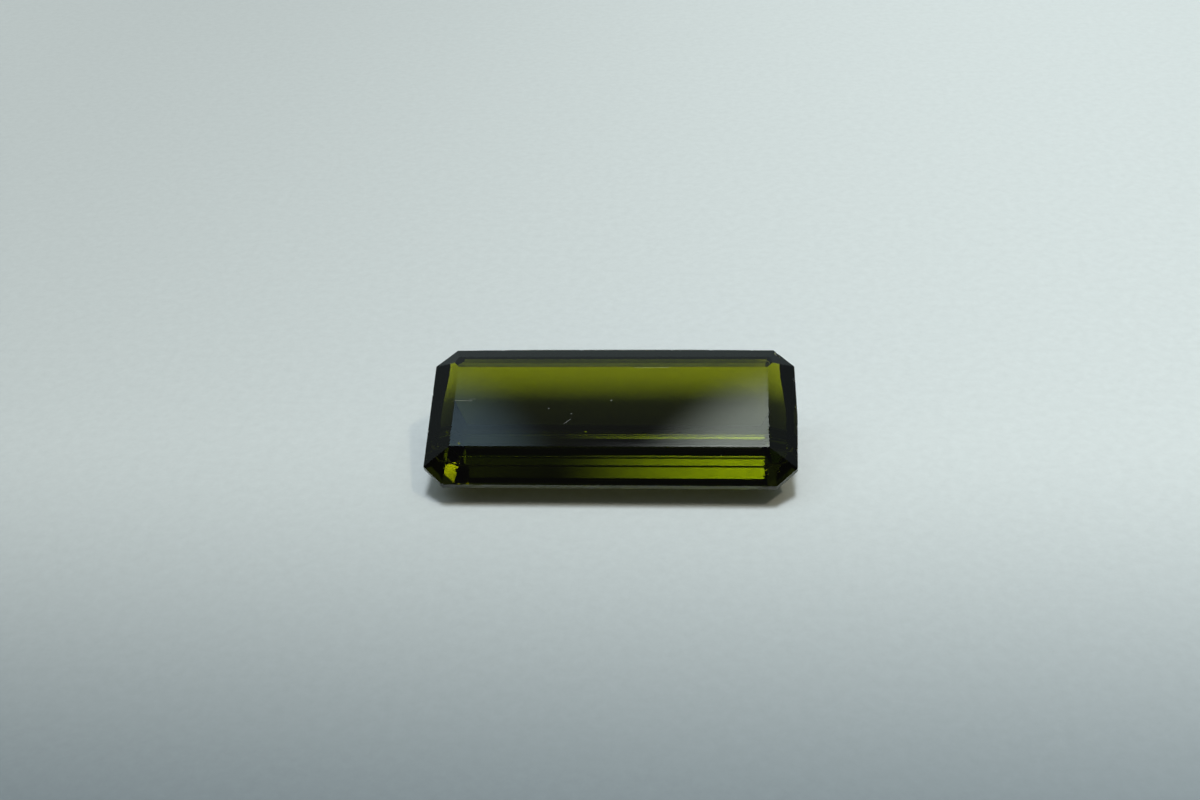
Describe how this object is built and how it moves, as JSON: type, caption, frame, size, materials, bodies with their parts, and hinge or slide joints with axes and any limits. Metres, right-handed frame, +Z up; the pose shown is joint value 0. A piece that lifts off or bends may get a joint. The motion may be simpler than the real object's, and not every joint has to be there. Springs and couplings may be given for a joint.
{
  "type": "faceted emerald-cut tourmaline gemstone",
  "caption": "Step-cut tourmaline gem: long cut-corner rectangle, flat table, bevelled crown with a narrow second step on one side, thin girdle, stepped underside to a keel, lying on one lower facet.",
  "frame": {"origin": "centre of the bounding box's bottom face, on the plane of the long lower facet that the stone lies on", "axes": "+X along the stone's length, +Z up from the facet it lies on; the table leans towards -Y"},
  "size_m": [0.02, 0.0084, 0.0052],
  "materials": {
    "tourmaline": "polished"
  },
  "bodies": {
    "root": {"tourmaline": "tourmaline"}
  },
  "joints": []
}
